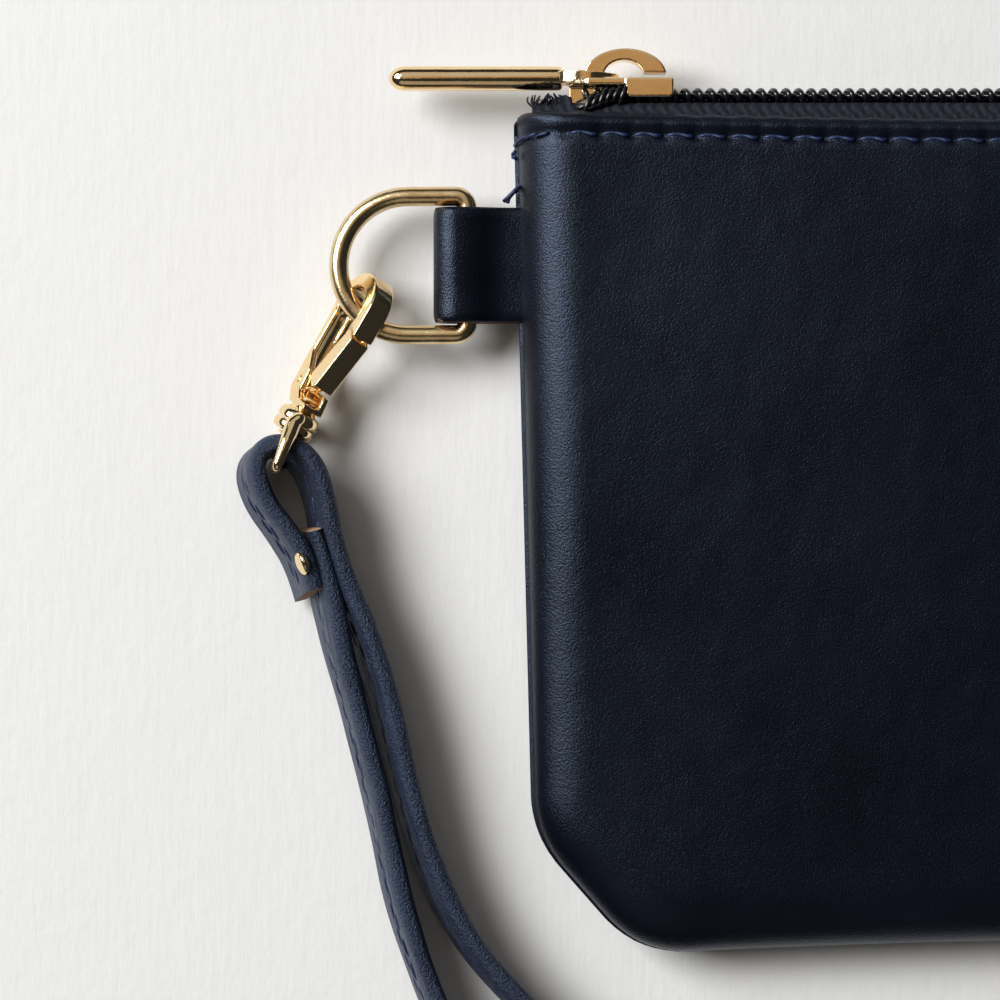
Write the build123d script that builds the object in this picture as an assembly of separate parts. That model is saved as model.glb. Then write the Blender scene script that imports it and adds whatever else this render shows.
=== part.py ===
from build123d import *
import math
import os

# Wristlet wallet: a turned leather pouch with a coil zip along its mouth, a D-ring held by a leather
# tab in the side seam, a swivel snap hook on the ring and a narrow leather wrist strap on the hook.
# Millimetres. The pouch lies on its back panel: +X runs along the zip, +Y points out of the mouth,
# +Z points up out of the front panel. The origin is on the back face, under the middle of the pouch.

# ---- pouch ----
POUCH_HALF_W = 95.2          # half the width at the mouth
MOUTH_Y = 55.2               # hem edge at the side seams
MOUTH_MID_Y = 53.8           # hem edge in the middle, pulled in
BASE_Y = -55.7               # where the bottom edge meets the corners
BASE_MID_Y = -53.6           # bottom edge in the middle, pulled in
POUCH_T = 13.0               # whole thickness
SEAM_Z = POUCH_T / 2         # the side seam and the zip lie at mid-thickness
CORNER_R = 15.0
LEATHER = 1.3
RIM_R = 5.0                  # roundness of the panels towards the seam
SEAM_ALLOWANCE = 4.0         # width of the leather turned inwards along the seam
HEM_DEPTH = 8.0              # depth of the leather folded in at the mouth
HEM_STITCH_INSET = 2.8
HEM_STITCH_PITCH = 4.2
HEM_STITCH_LEN = 3.0
THREAD = 0.45

# ---- zip ----
TAPE_T = 0.5
TAPE_END_X = 92.0
COIL_END_X = 86.0
COIL_GAP = 0.8               # slot between the two coil rows
COIL_W = 2.6                 # width of one row
COIL_BASE_Y = 56.5
COIL_TOP_Y = 58.4
TAPE_FOOT_Y = 46.0           # lower edge of the tapes, sewn inside the hems

# ---- slider and puller ----
SLIDER_X0 = -87.8            # nose of the slider
SLIDER_X1 = -74.3            # tail of the slider
SLIDER_HALF_W = 3.9
SLIDER_PLATE_Y0 = 58.75
SLIDER_PLATE_Y1 = 59.65
SLIDER_LOWER_Y0 = 54.6       # plate under the coils
SLIDER_LOWER_Y1 = 55.4
SLIDER_LOWER_HALF = 3.1
SLIDER_CORNER_R = 1.6
SLIDER_POST_LEN = 3.2        # the post that parts the coils at the nose
SLIDER_POST_T = 0.5
FLANGE_T = 0.6
FLANGE_LEN = 5.6
FLANGE_TAIL_GAP = 0.4
FLANGE_Y0 = 57.2
CROWN_MID = (-80.45, 60.2)
CROWN_RADII = (5.45, 3.6)
CROWN_HOLE_MID = (-80.65, 60.3)
CROWN_HOLE_RADII = (2.55, 2.1)
CROWN_W = 2.6
CROWN_FOOT_Y = 59.5
CROWN_TIP = (-78.5, 60.6)    # left end and top of the slot that lets the puller in
SLIDER_TRAVEL = 160.0
PULLER_HINGE = (-82.05, 60.55)
PULLER_ROD_R = 1.45
PULLER_ROD_X0 = -111.6
PULLER_ROD_X1 = -89.4

# ---- tab and D-ring ----
TAB_W = 15.2
TAB_T = 1.3
TAB_GAP = 2.9                # room for the bar inside the fold
TAB_X0 = -105.8
TAB_Y = 35.3
RING_BAR_X = -101.3
RING_WIRE_R = 1.2
RING_HALF = 9.15             # half the ring's width, on the wire's centre line
RING_ARC_X = -109.2          # centre of the round end
RING_DROOP = 3.0             # degrees that the ring hangs below the seam's plane

# ---- snap hook ----
HOOK_ORIGIN = Vector(-124.0, 14.5, 5.8)
HOOK_HEADING = 59.5          # degrees from +X to the hook's axis, in the XY plane
HOOK_TILT = 33.0             # degrees that the hook's flat side faces up
HOOK_T = 2.8
GATE_PIN = (-2.7, 5.3)       # across the hook, along the hook
GATE_REACH = 10.4            # from the pin to the gate's tip
NOSE_CLEAR = 0.3
COLLAR_R = 2.8

# ---- wrist strap ----
STRAP_W = 9.0                # the strap stands on its edge: its width is upright
STRAP_T = 2.2
STRAP_Z0 = 1.3               # lifted by the bail's lower leg
BAIL_BAR = Vector(-127.1, 8.9)
BAIL_BAR_R = 0.7
BAIL_LEG_T = 1.0
RUN_SHARE = 0.45

# Middle line of the strap, from the riveted end, round the bail, down the outer side of the wrist
# loop and back up to the second end, which lies under the first.
STRAP_ROUTE = [
    (-122.9, -8.8), (-124.0, -4.4), (-126.3, -0.2), (-129.0, 4.0), (-130.3, 8.2),
    (-128.7, 10.9), (-125.6, 11.2), (-122.6, 9.2), (-120.6, 4.8), (-119.2, -1.2),
    (-117.2, -7.6), (-114.9, -14.0), (-112.4, -21.6), (-110.2, -31.0), (-107.6, -41.2),
    (-103.4, -51.6), (-95.6, -61.4), (-84.0, -72.0), (-68.0, -86.0), (-54.0, -101.0),
    (-46.0, -118.0), (-46.5, -134.0), (-56.0, -146.0), (-70.0, -149.0), (-83.0, -141.0),
    (-91.0, -125.0), (-95.5, -106.0), (-98.6, -87.0), (-103.0, -69.0), (-108.9, -55.0),
    (-112.0, -42.0), (-115.0, -28.5), (-118.2, -16.5), (-120.6, -8.6), (-121.9, -3.4),
    (-123.3, 0.9),
]

os.makedirs("parts", exist_ok=True)
nodes = {}


def block(x0, x1, y0, y1, z0, z1):
    size = Box(x1 - x0, y1 - y0, z1 - z0)
    return Pos((x0 + x1) / 2, (y0 + y1) / 2, (z0 + z1) / 2) * size


def upward(sketch, height):
    return extrude(sketch, height, dir=(0, 0, 1))


# ---------------------------------------------------------------- pouch
def pouch_face(inset, open_top=0.0):
    """Outline of the pouch in plan, drawn inwards by inset, its mouth moved out by open_top."""
    w = POUCH_HALF_W - inset
    top = MOUTH_Y + open_top
    mid = MOUTH_MID_Y + open_top
    side = (w - 2.4, -40.0)
    foot = (79.0 - inset * 0.6, BASE_Y + inset)
    right = [(w, top), side, foot]
    left = [(-x, y) for x, y in reversed(right)]
    with BuildSketch() as sk:
        with BuildLine():
            Polyline(*right)
            ThreePointArc(foot, (0, BASE_MID_Y + inset), left[0])
            Polyline(*left)
            ThreePointArc(left[-1], (0, mid), right[0])
        make_face()
        fillet([v for v in sk.vertices() if v.Y < 0], CORNER_R - inset)
    return sk.sketch


def pouch_block(inset, open_top, radius):
    """The pouch as a rounded slab; the mouth end stays square."""
    slab = Pos(0, 0, inset) * upward(pouch_face(inset, open_top), POUCH_T - 2 * inset)
    rims = [
        e
        for e in slab.edges()
        if abs(e.center().Z - SEAM_Z) > SEAM_Z - inset - 0.01 and e.center().Y < 50.0
    ]
    return fillet(rims, radius)


def half(solid, z0, z1):
    return solid & block(-120, 120, -80, 80, z0, z1)


def build_pouch():
    outer = pouch_block(0, 0, RIM_R)
    cavity = pouch_block(LEATHER, 3.0, RIM_R - LEATHER)
    shell = outer - cavity
    allowance = upward(pouch_face(LEATHER) - pouch_face(LEATHER + SEAM_ALLOWANCE, 10.0), 2 * LEATHER)
    allowance = Pos(0, 0, SEAM_Z - LEATHER) * allowance
    allowance -= block(-120, 120, MOUTH_Y - HEM_DEPTH, 80, 0, POUCH_T)
    hem_zone = pouch_block(0, 0, RIM_R) & block(-120, 120, MOUTH_Y - HEM_DEPTH, 80, 0, POUCH_T)
    hem_gap = block(-120, 120, 0, 80, 2 * LEATHER, POUCH_T - 2 * LEATHER)
    hems = hem_zone - hem_gap
    tab_slot = block(TAB_X0, -85, TAB_Y - TAB_W / 2, TAB_Y + TAB_W / 2, *tab_span())
    whole = shell + allowance + hems - tab_slot
    nodes["front_panel"] = half(whole, SEAM_Z, POUCH_T)
    nodes["back_panel"] = half(whole, 0, SEAM_Z)


def tab_span():
    reach = TAB_GAP / 2 + TAB_T
    return SEAM_Z - reach, SEAM_Z + reach


def hem_edge_y(x):
    """Height of the hem's edge: a shallow arc through both side seams and the middle."""
    sag = MOUTH_Y - MOUTH_MID_Y
    return MOUTH_MID_Y + sag * (x / POUCH_HALF_W) ** 2


def hem_stitches(z0, z1):
    count = int(2 * (POUCH_HALF_W - 4) / HEM_STITCH_PITCH)
    first = -HEM_STITCH_PITCH * (count - 1) / 2
    dashes = []
    for i in range(count):
        x = first + i * HEM_STITCH_PITCH
        y = hem_edge_y(x) - HEM_STITCH_INSET
        dashes.append(
            block(x - HEM_STITCH_LEN / 2, x + HEM_STITCH_LEN / 2, y - THREAD / 2, y + THREAD / 2, z0, z1)
        )
    return Compound(dashes)


def seam_stitches():
    """Upright stitches through the two seam allowances, inside the pouch."""
    line = pouch_face(LEATHER + 1.5).faces()[0].outer_wire()
    count = int(line.length / HEM_STITCH_PITCH)
    pegs = []
    for i in range(count):
        p = line.position_at(i / count)
        beside_tab = p.X < 0 and abs(p.Y - TAB_Y) < TAB_W / 2 + 1
        if p.Y < MOUTH_Y - HEM_DEPTH - 1 and not beside_tab:
            pegs.append(Pos(p.X, p.Y, SEAM_Z) * Cylinder(THREAD / 2, 2 * LEATHER + 0.5))
    return Compound(pegs)


# ---------------------------------------------------------------- zip
def zip_side(sign):
    """Tape and coil row on one side of the zip's middle plane."""
    inner = COIL_GAP / 2
    outer = SEAM_Z - 2 * LEATHER

    def at(x0, x1, y0, y1, d0, d1):
        z = sorted((SEAM_Z + sign * d0, SEAM_Z + sign * d1))
        return block(x0, x1, y0, y1, *z)

    top = at(-TAPE_END_X, TAPE_END_X, COIL_BASE_Y - TAPE_T, COIL_BASE_Y, inner, outer)
    wall = at(-TAPE_END_X, TAPE_END_X, TAPE_FOOT_Y, COIL_BASE_Y, outer - TAPE_T, outer)
    tape = top + wall
    bend = [
        e
        for e in tape.edges().filter_by(Axis.X)
        if abs(e.center().Y - COIL_BASE_Y) < 0.01 and abs(abs(e.center().Z - SEAM_Z) - outer) < 0.01
    ]
    tape = fillet(bend, TAPE_T * 0.9)
    row = at(-COIL_END_X, COIL_END_X, COIL_BASE_Y, COIL_TOP_Y, inner, inner + COIL_W)
    crown = [e for e in row.edges().filter_by(Axis.X) if e.center().Y > COIL_BASE_Y + 0.5]
    row = fillet(crown, 0.8)
    return tape, row


def zip_tack(x):
    """Bar of stitches across the chain where it runs into the side seam; it stops the slider."""
    half_w = COIL_GAP / 2 + COIL_W + 0.4
    return block(x - 0.6, x + 0.6, COIL_BASE_Y, COIL_TOP_Y + 0.3, SEAM_Z - half_w, SEAM_Z + half_w)


# ---------------------------------------------------------------- slider and puller
def slider_body():
    half_w = SLIDER_HALF_W
    low = SLIDER_LOWER_HALF
    post_t = SLIDER_POST_T / 2
    plate = block(SLIDER_X0, SLIDER_X1, SLIDER_PLATE_Y0, SLIDER_PLATE_Y1, SEAM_Z - half_w, SEAM_Z + half_w)
    plate = fillet(plate.edges().filter_by(Axis.Y), SLIDER_CORNER_R)
    lower = block(SLIDER_X0, SLIDER_X1, SLIDER_LOWER_Y0, SLIDER_LOWER_Y1, SEAM_Z - low, SEAM_Z + low)
    lower = fillet(lower.edges().filter_by(Axis.Y), SLIDER_CORNER_R)
    post_x1 = SLIDER_X0 + SLIDER_POST_LEN
    post = block(SLIDER_X0, post_x1, SLIDER_LOWER_Y1, SLIDER_PLATE_Y0, SEAM_Z - post_t, SEAM_Z + post_t)
    body = plate + lower + post
    flange_x1 = SLIDER_X1 - FLANGE_TAIL_GAP
    flange_y1 = (SLIDER_PLATE_Y0 + SLIDER_PLATE_Y1) / 2
    for sign in (-1, 1):
        z = sorted((SEAM_Z + sign * (half_w - FLANGE_T), SEAM_Z + sign * half_w))
        body += block(flange_x1 - FLANGE_LEN, flange_x1, FLANGE_Y0, flange_y1, *z)
    arch = Pos(*CROWN_MID) * Ellipse(*CROWN_RADII) - Pos(*CROWN_HOLE_MID) * Ellipse(*CROWN_HOLE_RADII)
    crown_top = CROWN_MID[1] + CROWN_RADII[1]
    crown_mid_y = (CROWN_FOOT_Y + crown_top) / 2
    arch &= Pos(CROWN_MID[0], crown_mid_y) * Rectangle(2 * CROWN_RADII[0], crown_top - CROWN_FOOT_Y)
    gap_x1 = CROWN_MID[0] + CROWN_RADII[0]
    gap_y0 = SLIDER_PLATE_Y1
    gap_mid = ((CROWN_TIP[0] + gap_x1) / 2, (gap_y0 + CROWN_TIP[1]) / 2)
    arch -= Pos(*gap_mid) * Rectangle(gap_x1 - CROWN_TIP[0], CROWN_TIP[1] - gap_y0)
    crown = Pos(0, 0, SEAM_Z - CROWN_W / 2) * upward(arch, CROWN_W)
    return body + crown


def puller():
    rod = Pos((PULLER_ROD_X0 + PULLER_ROD_X1) / 2, PULLER_HINGE[1], SEAM_Z) * Rot(0, 90, 0) * Cylinder(
        PULLER_ROD_R, PULLER_ROD_X1 - PULLER_ROD_X0
    )
    rod = fillet(rod.edges().sort_by(Axis.X)[0], PULLER_ROD_R * 0.9)
    eye_mid = (PULLER_ROD_X1 + PULLER_HINGE[0]) / 2 - 0.2
    eye = SlotOverall(9.0, 6.0) - Pos(0.15, 0) * RectangleRounded(6.5, 3.7, 0.9)
    eye = Pos(eye_mid, PULLER_HINGE[1] - 0.5, SEAM_Z) * Rot(-90, 0, 0) * upward(eye, 1.0)
    return rod + eye


# ---------------------------------------------------------------- tab and ring
def ring_tab():
    z0, z1 = tab_span()
    y0 = TAB_Y - TAB_W / 2
    y1 = TAB_Y + TAB_W / 2
    band = block(TAB_X0, -88.0, y0, y1, z0, z1)
    fold = [e for e in band.edges().filter_by(Axis.Y) if e.center().X < TAB_X0 + 0.01]
    band = fillet(fold, (z1 - z0) / 2 - 0.01)
    hollow = block(TAB_X0 + TAB_T, -80.0, y0 - 1, y1 + 1, z0 + TAB_T, z1 - TAB_T)
    fold = [e for e in hollow.edges().filter_by(Axis.Y) if e.center().X < TAB_X0 + TAB_T + 0.01]
    return band - fillet(fold, TAB_GAP / 2 - 0.01)


def d_ring():
    with BuildLine() as path:
        y0 = TAB_Y - RING_HALF
        y1 = TAB_Y + RING_HALF
        corners = [(RING_ARC_X, y0), (RING_BAR_X, y0), (RING_BAR_X, y1), (RING_ARC_X, y1)]
        FilletPolyline(*corners, radius=1.6)
        ThreePointArc(corners[-1], (RING_ARC_X - RING_HALF, TAB_Y), corners[0])
    wire = path.wire()
    section = Plane(origin=wire.position_at(0.02), z_dir=wire.tangent_at(0.02)) * Circle(RING_WIRE_R)
    start = Wire(wire.edges())
    ring = sweep(section, path=start)
    hinge = Axis((RING_BAR_X, 0, 0), (0, 1, 0))
    return Pos(0, 0, SEAM_Z) * ring.rotate(hinge, -RING_DROOP)


# ---------------------------------------------------------------- hook
HEADING = math.radians(HOOK_HEADING)
TILT = math.radians(HOOK_TILT)
HOOK_U = Vector(math.cos(HEADING), math.sin(HEADING), 0)
HOOK_P = Vector(math.sin(HEADING), -math.cos(HEADING), 0)
HOOK_B = HOOK_P * math.sin(TILT) + Vector(0, 0, math.cos(TILT))
HOOK_N = HOOK_P * -math.cos(TILT) + Vector(0, 0, math.sin(TILT))
HOOK_PLANE = Plane(origin=HOOK_ORIGIN, x_dir=HOOK_B, z_dir=HOOK_N)


def on_hook(sketch, c0, c1):
    """A flat shape of the hook, given across and along it, as thick as from c0 to c1."""
    return HOOK_PLANE * (Pos(0, 0, c0) * upward(sketch, c1 - c0))


def pin_arc_point(radius, b):
    return b, GATE_PIN[1] + math.sqrt(radius**2 - (b - GATE_PIN[0]) ** 2)


def hook_body():
    nose_in = pin_arc_point(GATE_REACH + NOSE_CLEAR, 2.75)
    nose_out = pin_arc_point(GATE_REACH + NOSE_CLEAR, 4.1)
    with BuildSketch() as sk:
        with BuildLine():
            Polyline((-2.2, 2.2), (-3.9, 4.0), (-4.2, 9.3), (-4.5, 16.5))
            ThreePointArc((-4.5, 16.5), (-0.2, 21.7), (4.1, 17.2))
            Line((4.1, 17.2), nose_out)
            Line(nose_out, nose_in)
            Line(nose_in, (2.75, 17.2))
            ThreePointArc((2.75, 17.2), (-0.3, 20.3), (-3.2, 16.5))
            Polyline((-3.2, 16.5), (-2.9, 9.3), (-1.7, 7.4), (-1.7, 3.3), (2.2, 3.0), (2.2, 2.2), (-2.2, 2.2))
        make_face()
    body = on_hook(sk.sketch, -HOOK_T / 2, HOOK_T / 2)
    slot = on_hook(Pos(-2.4, 5.9) * Rectangle(4.0, 3.8), -0.7, 0.7)
    pin_hole = on_hook(Pos(*GATE_PIN) * Circle(0.42), -HOOK_T, HOOK_T)
    return body - slot - pin_hole


def hook_gate():
    tip_out = pin_arc_point(GATE_REACH, 4.0)
    tip_in = pin_arc_point(GATE_REACH, 2.7)
    outline = Polyline((-0.7, 5.1), (0.6, 3.9), (1.8, 3.9), tip_out, tip_in, (-0.1, 6.9), close=True)
    bar = on_hook(make_face(outline), -1.3, 1.3)
    arm = Pos(*GATE_PIN) * Circle(1.05) + Pos(-1.3, 5.7) * Rectangle(2.4, 1.6)
    tongue = on_hook(arm, -0.6, 0.6)
    hole = on_hook(Pos(*GATE_PIN) * Circle(0.45), -1, 1)
    spring_slot = on_hook(Pos(*GATE_PIN) * Circle(1.3), -0.35, 0.35)
    return bar + tongue - hole - spring_slot


def gate_pin():
    shank = on_hook(Pos(*GATE_PIN) * Circle(0.4), -HOOK_T / 2, HOOK_T / 2)
    head = on_hook(Pos(*GATE_PIN) * Circle(0.62), HOOK_T / 2, HOOK_T / 2 + 0.15)
    return shank + head


def gate_spring():
    return on_hook(Pos(*GATE_PIN) * (Circle(0.9) - Circle(0.5)), -0.22, 0.22)


AXIS_PLANE = Plane(origin=HOOK_ORIGIN, x_dir=(0, 0, 1), z_dir=HOOK_U)
BAIL_PLANE = Plane(origin=HOOK_ORIGIN, x_dir=HOOK_U, z_dir=HOOK_P)


def along_axis(radius, a0, a1):
    """A round bar on the hook's swivel axis, from a0 to a1 along it."""
    return AXIS_PLANE * (Pos(0, 0, (a0 + a1) / 2) * Cylinder(radius, a1 - a0))


def swivel_post():
    collar = along_axis(COLLAR_R, 0.1, 1.6)
    neck = along_axis(1.7, 1.6, 2.2)
    shank = along_axis(1.0, -1.75, 0.1)
    head = along_axis(1.6, -2.15, -1.75)
    return collar + neck + shank + head


def swivel_bail():
    """Collar on the post and a closed loop of two legs and a cross bar, upright."""
    half_h = STRAP_W / 2 + 0.2
    bar_a = -((HOOK_ORIGIN - Vector(BAIL_BAR.X, BAIL_BAR.Y, HOOK_ORIGIN.Z)).length)
    collar = along_axis(COLLAR_R, -1.55, -0.1) - along_axis(1.08, -3, 1)
    legs = []
    for sign in (-1, 1):
        outline = Polyline(
            (-0.2, sign * 2.2),
            (-1.5, sign * 1.9),
            (-2.4, sign * half_h),
            (bar_a - BAIL_BAR_R, sign * half_h),
            (bar_a - BAIL_BAR_R, sign * (half_h + BAIL_LEG_T)),
            (-2.2, sign * (half_h + BAIL_LEG_T)),
            close=True,
        )
        face = make_face(outline)
        legs.append(BAIL_PLANE * (Pos(0, 0, -0.8) * upward(face, 1.6)))
    bar = Pos(BAIL_BAR.X, BAIL_BAR.Y, HOOK_ORIGIN.Z) * Cylinder(BAIL_BAR_R, 2 * half_h + 1.0)
    return collar + legs[0] + legs[1] + bar


# ---------------------------------------------------------------- wrist strap
def route_radii():
    """Radius of the arc at each inner point: as large as its two runs allow."""
    pts = [Vector(x, y) for x, y in STRAP_ROUTE]
    radii = []
    for a, b, c in zip(pts, pts[1:], pts[2:]):
        run_in = b - a
        run_out = c - b
        turn = math.radians(run_in.get_angle(run_out))
        shorter = min(run_in.length, run_out.length)
        radii.append(RUN_SHARE * shorter / math.tan(turn / 2))
    return radii


def strap_band(path, side0, side1, z0, z1):
    """The strip between two distances beside the strap's middle line, from height z0 to z1."""
    mid = (side0 + side1) / 2
    width = side1 - side0
    start = path.position_at(0)
    across = path.tangent_at(0).rotate(Axis.Z, 90)
    centre = start + across * mid
    frame = Plane(origin=(centre.X, centre.Y, (z0 + z1) / 2), x_dir=across, z_dir=path.tangent_at(0))
    return sweep(frame * Rectangle(width, z1 - z0), path=path, transition=Transition.RIGHT)


def build_strap():
    radii = route_radii()
    print("strap radii:", [round(r, 1) for r in radii])
    with BuildLine() as line:
        FilletPolyline(*STRAP_ROUTE, radius=radii)
    path = line.wire()
    strap = strap_band(path, -STRAP_T / 2, STRAP_T / 2, STRAP_Z0, STRAP_Z0 + STRAP_W)
    section = STRAP_T * STRAP_W
    print("strap length:", round(path.length, 1), "volume / section x length:",
          round(strap.volume / (section * path.length), 4))
    nodes["wrist_strap"] = strap
    top = STRAP_Z0 + STRAP_W
    rows = [
        strap_band(path, -STRAP_T / 2 - 0.15, -STRAP_T / 2, top - inset - 0.3, top - inset)
        for inset in (0.9, 1.8)
    ]
    nodes["strap_thread"] = Compound(rows)


def strap_rivet():
    """Cap rivet through the two strap ends."""
    over = Vector(-124.0, -4.4)
    along = Vector(-122.9 + 126.3, -8.8 + 0.2)
    across = Vector(-along.Y, along.X).normalized()
    level = STRAP_Z0 + STRAP_W / 2
    frame = Plane(origin=(over.X, over.Y, level), x_dir=(0, 0, 1), z_dir=(across.X, across.Y, 0))
    reach = 2 * STRAP_T + 0.25
    cap = frame * (Pos(0, 0, -STRAP_T / 2 - 0.35) * Cylinder(2.2, 0.7))
    post = frame * (Pos(0, 0, reach / 2 - STRAP_T / 2) * Cylinder(0.9, reach))
    back = frame * (Pos(0, 0, reach - STRAP_T / 2 + 0.2) * Cylinder(1.9, 0.4))
    return cap, post + back


# ---------------------------------------------------------------- all nodes
build_pouch()
nodes["front_hem_thread"] = hem_stitches(POUCH_T - 0.15, POUCH_T + 0.15)
nodes["back_hem_thread"] = hem_stitches(0.0, 0.2)
nodes["side_seam_thread"] = seam_stitches()
nodes["zip_tape_front"], nodes["zip_coil_front"] = zip_side(1)
nodes["zip_tape_back"], nodes["zip_coil_back"] = zip_side(-1)
nodes["zip_tack_left"] = zip_tack(-COIL_END_X - 3.2)
nodes["zip_tack_right"] = zip_tack(COIL_END_X + 1.0)
nodes["slider_body"] = slider_body()
nodes["zip_puller"] = puller()
nodes["ring_tab"] = ring_tab()
nodes["d_ring"] = d_ring()
nodes["hook_body"] = hook_body()
nodes["hook_gate"] = hook_gate()
nodes["gate_pin"] = gate_pin()
nodes["gate_spring"] = gate_spring()
nodes["swivel_post"] = swivel_post()
nodes["swivel_bail"] = swivel_bail()
build_strap()
nodes["strap_rivet_cap"], nodes["strap_rivet_post"] = strap_rivet()

for name, shape in nodes.items():
    export_step(shape, f"parts/{name}.step")
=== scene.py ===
import bpy
import bmesh
import math
import random
from mathutils import Matrix, Vector, noise


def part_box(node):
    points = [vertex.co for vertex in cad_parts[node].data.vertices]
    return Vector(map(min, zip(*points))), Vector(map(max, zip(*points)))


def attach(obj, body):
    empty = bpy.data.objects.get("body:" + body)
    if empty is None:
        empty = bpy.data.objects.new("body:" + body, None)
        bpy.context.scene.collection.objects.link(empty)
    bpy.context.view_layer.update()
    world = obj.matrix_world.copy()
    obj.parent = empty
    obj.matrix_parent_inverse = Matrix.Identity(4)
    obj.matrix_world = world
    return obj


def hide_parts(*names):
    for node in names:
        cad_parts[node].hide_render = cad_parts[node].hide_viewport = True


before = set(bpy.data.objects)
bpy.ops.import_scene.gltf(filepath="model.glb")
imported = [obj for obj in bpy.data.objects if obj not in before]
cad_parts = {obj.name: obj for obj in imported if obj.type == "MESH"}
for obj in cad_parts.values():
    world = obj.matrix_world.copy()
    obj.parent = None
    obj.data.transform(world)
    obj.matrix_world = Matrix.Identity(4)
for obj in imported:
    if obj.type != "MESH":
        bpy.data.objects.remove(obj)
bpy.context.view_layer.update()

MM = 0.001
UP = Vector((0, 0, 1))

# ---- sizes, in millimetres
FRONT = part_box("front_panel")
HALF_W = FRONT[1][0] / MM              # half the pouch's width at the mouth
MOUTH_Y = FRONT[1][1] / MM             # hem edge at the side seams
POUCH_T = FRONT[1][2] / MM
SEAM_Z = POUCH_T / 2
MOUTH_SAG = 1.4                        # the hem's edge pulls in by this much in the middle
BASE_Y = -55.7
BASE_MID_Y = -53.6
BASE_HALF = 79.0
LEATHER = 1.3
HEM_INSET = 2.8
STITCH_PITCH = 4.2

# ---- camera
VIEW_W = 131.6                         # width of the view at the wallet's mid-height
VIEW_X = -97.0
VIEW_Y = 4.3
VIEW_Z = SEAM_Z + 2
LENS = 120.0
SENSOR = 36.0


def add_object(name, data):
    obj = bpy.data.objects.new(name, data)
    bpy.context.collection.objects.link(obj)
    return obj


def add_camera():
    data = bpy.data.cameras.new("photo_camera")
    data.lens = LENS
    data.sensor_width = SENSOR
    data.clip_start = 0.01
    camera = add_object("photo_camera", data)
    distance = VIEW_W * LENS / SENSOR
    camera.location = (VIEW_X * MM, VIEW_Y * MM, (VIEW_Z + distance) * MM)
    bpy.context.scene.camera = camera


add_camera()


# ---- mesh helpers (millimetres in)
def dress(mesh, material):
    """Smooth shading, and one material."""
    for polygon in mesh.polygons:
        polygon.use_smooth = True
    mesh.materials.clear()
    mesh.materials.append(material)


def mesh_object(name, verts, faces, material):
    mesh = bpy.data.meshes.new(name)
    mesh.from_pydata([Vector(v) * MM for v in verts], [], faces)
    mesh.validate()
    dress(mesh, material)
    return add_object(name, mesh)


def carry(piece, body, node=None):
    """The body that a piece rides on, and the CAD node it replaces."""
    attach(piece, body)
    if node:
        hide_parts(node)


def grid_faces(rows, cols, wrap_rows=False, wrap_cols=False, flip=False):
    faces = []
    for i in range(rows if wrap_rows else rows - 1):
        for j in range(cols if wrap_cols else cols - 1):
            a = i * cols + j
            b = i * cols + (j + 1) % cols
            c = ((i + 1) % rows) * cols + (j + 1) % cols
            d = ((i + 1) % rows) * cols + j
            faces.append((a, d, c, b) if flip else (a, b, c, d))
    return faces


def end_caps(rows, cols):
    """The two faces that close the ends of a tube's grid."""
    last = (rows - 1) * cols
    return [tuple(reversed(range(cols))), tuple(range(last, last + cols))]


def path_frames(points, closed=False):
    """Tangent, side and lift at each point, with as little twist as possible."""
    pts = [Vector(p) for p in points]
    n = len(pts)
    tangents = []
    for i in range(n):
        a = pts[i - 1] if closed or i > 0 else pts[i]
        b = pts[(i + 1) % n] if closed or i < n - 1 else pts[i]
        tangents.append((b - a).normalized())
    side = tangents[0].cross(UP)
    if side.length < 0.1:
        side = tangents[0].cross(Vector((1, 0, 0)))
    side.normalize()
    frames = []
    for p, t in zip(pts, tangents):
        side = (side - t * side.dot(t)).normalized()
        frames.append((p, t, side, side.cross(t)))
    return frames


def tube_data(points, radius, sides=12, closed=False, flat=1.0):
    """Verts and faces of a round bar along points; radius is a number or one per point."""
    frames = path_frames(points, closed)
    n = len(frames)
    radii = radius if isinstance(radius, (list, tuple)) else [radius] * n
    verts = []
    for (p, _, side, lift), r in zip(frames, radii):
        for k in range(sides):
            a = 2 * math.pi * k / sides
            verts.append(p + side * (math.cos(a) * r) + lift * (math.sin(a) * r * flat))
    faces = grid_faces(n, sides, wrap_rows=closed, wrap_cols=True)
    if not closed:
        faces += end_caps(n, sides)
    return verts, faces


def join_data(parts):
    verts, faces = [], []
    for v, f in parts:
        base = len(verts)
        verts.extend(v)
        faces.extend(tuple(i + base for i in face) for face in f)
    return verts, faces


def arc(cx, cy, r, start, end, count):
    """Points on an arc, in degrees."""
    out = []
    for i in range(count + 1):
        a = math.radians(start + (end - start) * i / count)
        out.append((cx + r * math.cos(a), cy + r * math.sin(a)))
    return out


def round_polygon(corners, radii, steps=6):
    """A closed outline whose corners are rounded by the given radii."""
    n = len(corners)
    pts = [Vector(c) for c in corners]
    radii = radii if isinstance(radii, (list, tuple)) else [radii] * n
    out = []
    for i in range(n):
        p, q, s = pts[i - 1], pts[i], pts[(i + 1) % n]
        u, v = (p - q), (s - q)
        turn = math.pi - u.angle(v)
        cut = min(radii[i] * math.tan(turn / 2), 0.48 * u.length, 0.48 * v.length)
        a, b = q + u.normalized() * cut, q + v.normalized() * cut
        if cut < 1e-4 or turn < 0.02:
            out.append(tuple(q))
            continue
        for k in range(steps + 1):
            t = k / steps
            out.append(tuple(a * (1 - t) ** 2 + q * (2 * t * (1 - t)) + b * t * t))
    return out


def placed(origin, x, y, z):
    """Puts an outline's or a profile's axes along these directions, at the origin given."""
    return Matrix.Translation(origin) @ Matrix((x, y, z)).transposed().to_4x4()


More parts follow.
